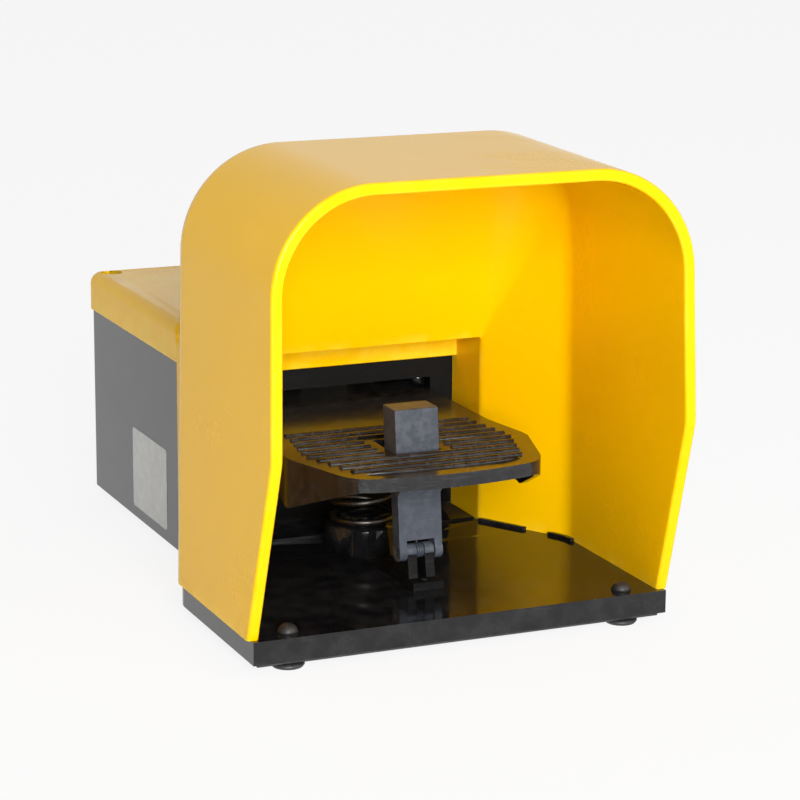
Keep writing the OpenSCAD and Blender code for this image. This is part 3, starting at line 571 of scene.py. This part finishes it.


# painted shade: the housing's front wall and the step before it get the darker, duller black
second_finish(base, "painted_shade_black", in_painted_shade)
second_finish(bracket, "latch_grey", on_knuckle)

# ---- blank sticker on the left side of the housing ----

STICKER_X = -58.5                              # the housing's left side
STICKER_Y, STICKER_Z = (154.0, 196.0), (8.0, 40.7)
STICKER_R, CORNER_STEPS = 1.5, 4

def make_sticker():
    bm = bmesh.new()
    (y0, y1), (z0, z1), r = STICKER_Y, STICKER_Z, STICKER_R
    pts = []
    for cy, cz, start in ((y1 - r, z1 - r, 0), (y0 + r, z1 - r, 90),
                          (y0 + r, z0 + r, 180), (y1 - r, z0 + r, 270)):
        for k in range(CORNER_STEPS + 1):
            a = math.radians(start + 90 * k / CORNER_STEPS)
            pts.append((cy + r * math.cos(a), cz + r * math.sin(a)))
    low = [bm.verts.new(at(STICKER_X + 0.05, y, z)) for y, z in pts]
    high = [bm.verts.new(at(STICKER_X - 0.12, y, z)) for y, z in pts]
    n = len(pts)
    bm.faces.new(high)
    bm.faces.new(list(reversed(low)))
    for i in range(n):
        bm.faces.new((low[i], low[(i + 1) % n], high[(i + 1) % n], high[i]))
    bmesh.ops.recalc_face_normals(bm, faces=bm.faces)
    me = bpy.data.meshes.new("blank_sticker")
    bm.to_mesh(me)
    bm.free()
    place("blank_sticker", me, "base", "blank_foil")


make_sticker()

# ---- springs, by geometry nodes ----


def coil_tree():
    """Round wire wound about Z, with closed end coils."""
    g = bpy.data.node_groups.new("coil", "GeometryNodeTree")
    for label, kind, value in (("Radius", "Float", 0.012), ("Wire", "Float", 0.0012),
                               ("Turns", "Float", 5.0), ("Bottom", "Float", 0.0),
                               ("Height", "Float", 0.03), ("End share", "Float", 0.17),
                               ("End rise", "Float", 0.065), ("Finish", "Material", None)):
        s = g.interface.new_socket(label, in_out="INPUT", socket_type="NodeSocket" + kind)
        if value is not None:
            s.default_value = value
    g.interface.new_socket("Geometry", in_out="OUTPUT", socket_type="NodeSocketGeometry")
    gi, go = g.nodes.new("NodeGroupInput").outputs, g.nodes.new("NodeGroupOutput")
    line = put(g, "GeometryNodeCurvePrimitiveLine")
    fine = put(g, "GeometryNodeResampleCurve", None, Curve=line.outputs[0])
    fine.inputs["Count"].default_value = 321
    t = put(g, "GeometryNodeSplineParameter").outputs["Factor"]
    turn = calc(g, "MULTIPLY", calc(g, "MULTIPLY", t, gi["Turns"]), 2 * math.pi)
    # rise: slow in the closed ends, even between them
    open_share = calc(g, "SUBTRACT", 1.0, calc(g, "MULTIPLY", gi["End share"], 2.0))
    open_rise = calc(g, "SUBTRACT", 1.0, calc(g, "MULTIPLY", gi["End rise"], 2.0))
    first_t = calc(g, "MINIMUM", calc(g, "DIVIDE", t, gi["End share"]), 1.0)
    first = calc(g, "MULTIPLY", first_t, gi["End rise"])
    mid_t = put(g, "ShaderNodeClamp", None,
                Value=calc(g, "DIVIDE", calc(g, "SUBTRACT", t, gi["End share"]), open_share)).outputs[0]
    last_t = calc(g, "MAXIMUM", calc(g, "SUBTRACT", t, calc(g, "SUBTRACT", 1.0, gi["End share"])), 0.0)
    last = calc(g, "MULTIPLY", calc(g, "DIVIDE", last_t, gi["End share"]), gi["End rise"])
    rise = calc(g, "ADD", calc(g, "ADD", first, calc(g, "MULTIPLY", mid_t, open_rise)), last)
    z = calc(g, "ADD", calc(g, "MULTIPLY", rise, gi["Height"]), gi["Bottom"])
    pos = put(g, "ShaderNodeCombineXYZ", None, X=calc(g, "MULTIPLY", calc(g, "COSINE", turn), gi["Radius"]),
              Y=calc(g, "MULTIPLY", calc(g, "SINE", turn), gi["Radius"]), Z=z)
    wound = put(g, "GeometryNodeSetPosition", None, Geometry=fine.outputs[0], Position=pos.outputs[0])
    section = put(g, "GeometryNodeCurvePrimitiveCircle", None, Radius=gi["Wire"])
    section.inputs["Resolution"].default_value = 14
    wire = put(g, "GeometryNodeCurveToMesh", None, Curve=wound.outputs[0], Profile_Curve=section.outputs[0])
    wire.inputs["Fill Caps"].default_value = True
    real = put(g, "GeometryNodeRealizeInstances", None, Geometry=wire.outputs[0])
    done = put(g, "GeometryNodeSetMaterial", None, Geometry=real.outputs[0], Material=gi["Finish"])
    g.links.new(done.outputs[0], go.inputs[0])
    return g


def run_tree(name, tree, values):
    """Run a geometry tree with the given inputs and return the plain mesh."""
    me = bpy.data.meshes.new(name)
    helper = added(name, me)
    mod = helper.modifiers.new("make", "NODES")
    mod.node_group = tree
    for item in tree.interface.items_tree:
        if item.in_out == "INPUT" and item.name in values:
            mod[item.identifier] = values[item.name]
    return baked(helper)


COIL = coil_tree()
SPRING_Y, SPRING_R, WIRE_R = 94.0, 11.8, 1.2
SPRING_LOW, SPRING_HIGH = 21.5, 57.0           # its seats on the post and under the treadle


def make_return_spring():
    height = SPRING_HIGH - SPRING_LOW
    me = run_tree("return_coil", COIL, {
        "Radius": SPRING_R * MM, "Wire": WIRE_R * MM, "Turns": 5.0,
        "Bottom": (SPRING_LOW + WIRE_R + 0.05) * MM, "Height": (height - 2 * WIRE_R - 0.1) * MM,
        "End share": 0.17, "End rise": 0.0617, "Finish": FINISH["spring_steel"]})
    me.transform(Matrix.Translation(at(0, SPRING_Y, 0)))
    for p in me.polygons:
        p.use_smooth = True
    obj = place("return_coil", me, "base", "spring_steel", ("return_spring",), 40)
    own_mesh(obj)


make_return_spring()

# ---- floor, light and camera ----


CAMERA_AT = (-401.383, -864.11, 320.178)      # millimetres, as in at()
CAMERA_TURN = (0.4098, 0.2370, 0.0070)        # yaw, pitch and roll in radians
SENSOR, FOCAL_SHARE = 36, 2829.7 / 800        # focal length as a share of the image's width


def add_camera():
    cam = bpy.data.cameras.new("camera")
    cam.sensor_width = SENSOR
    cam.lens = FOCAL_SHARE * SENSOR
    cam.clip_start = 0.05
    cam.clip_end = 30
    obj = added("camera", cam)
    yaw, pitch, roll = CAMERA_TURN
    fwd = Vector((math.sin(yaw) * math.cos(pitch), math.cos(yaw) * math.cos(pitch), -math.sin(pitch)))
    right = Vector((math.cos(yaw), -math.sin(yaw), 0))
    up = right.cross(fwd)
    r2 = right * math.cos(roll) + up * math.sin(roll)
    u2 = up * math.cos(roll) - right * math.sin(roll)
    m = Matrix((r2, u2, -fwd)).transposed().to_4x4()
    m.translation = at(*CAMERA_AT)
    obj.matrix_world = m
    scene.camera = obj


add_camera()


def area_light(name, loc, target, size, power):
    """A square light in metres and watts that faces its target."""
    lamp = bpy.data.lights.new(name, "AREA")
    lamp.energy = power
    lamp.size = size
    obj = added(name, lamp)
    obj.location = loc
    obj.rotation_euler = (Vector(target) - Vector(loc)).to_track_quat("-Z", "Y").to_euler()


area_light("front_box", (-0.38, -1.82, 0.55), (0, -0.05, 0.08), 0.8, 44)
area_light("right_box", (1.3, -1.3, 0.9), (0, 0, 0.08), 0.8, 5)
area_light("top_box", (0.1, 0.2, 1.9), (0, 0, 0.05), 1.4, 1.5)


def seen_factor(t):
    """1 where the camera, a gloss or a clear body looks, 0 for light on surfaces."""
    lp = put(t, "ShaderNodeLightPath").outputs
    seen = calc(t, "MAXIMUM", lp["Is Camera Ray"], lp["Is Glossy Ray"])
    return calc(t, "MAXIMUM", seen, lp["Is Transmission Ray"])


WORLD_LIGHT, WORLD_SEEN = 0.34, 1.0           # strength on surfaces, and where it is seen
FLOOR_SIZE, FLOOR_GLOW = 60, 0.86             # metres, and the share of plain white where it is seen

world = bpy.data.worlds.new("studio")
scene.world = world
world.use_nodes = True
wt = world.node_tree
back = wt.nodes["Background"]
back.inputs[0].default_value = (1.0, 1.0, 1.0, 1)
wt.links.new(span(wt, seen_factor(wt), 0.0, 1.0, WORLD_LIGHT, WORLD_SEEN), back.inputs[1])

bpy.ops.mesh.primitive_plane_add(size=FLOOR_SIZE)
floor = bpy.context.object
floor.name = "studio_floor"
fm = bpy.data.materials.new("studio_floor")
fm.use_nodes = True
ft = fm.node_tree
lit = ft.nodes["Principled BSDF"]
lit.inputs["Base Color"].default_value = (0.9, 0.9, 0.9, 1)
lit.inputs["Roughness"].default_value = 0.7
lit.inputs["Specular IOR Level"].default_value = 0.2
glow = put(ft, "ShaderNodeEmission", None, Strength=1.0)
mix = put(ft, "ShaderNodeMixShader")
ft.links.new(calc(ft, "MULTIPLY", seen_factor(ft), FLOOR_GLOW), mix.inputs[0])
ft.links.new(lit.outputs[0], mix.inputs[1])
ft.links.new(glow.outputs[0], mix.inputs[2])
ft.links.new(mix.outputs[0], ft.nodes["Material Output"].inputs[0])
floor.data.materials.append(fm)

scene.view_settings.view_transform = "Standard"
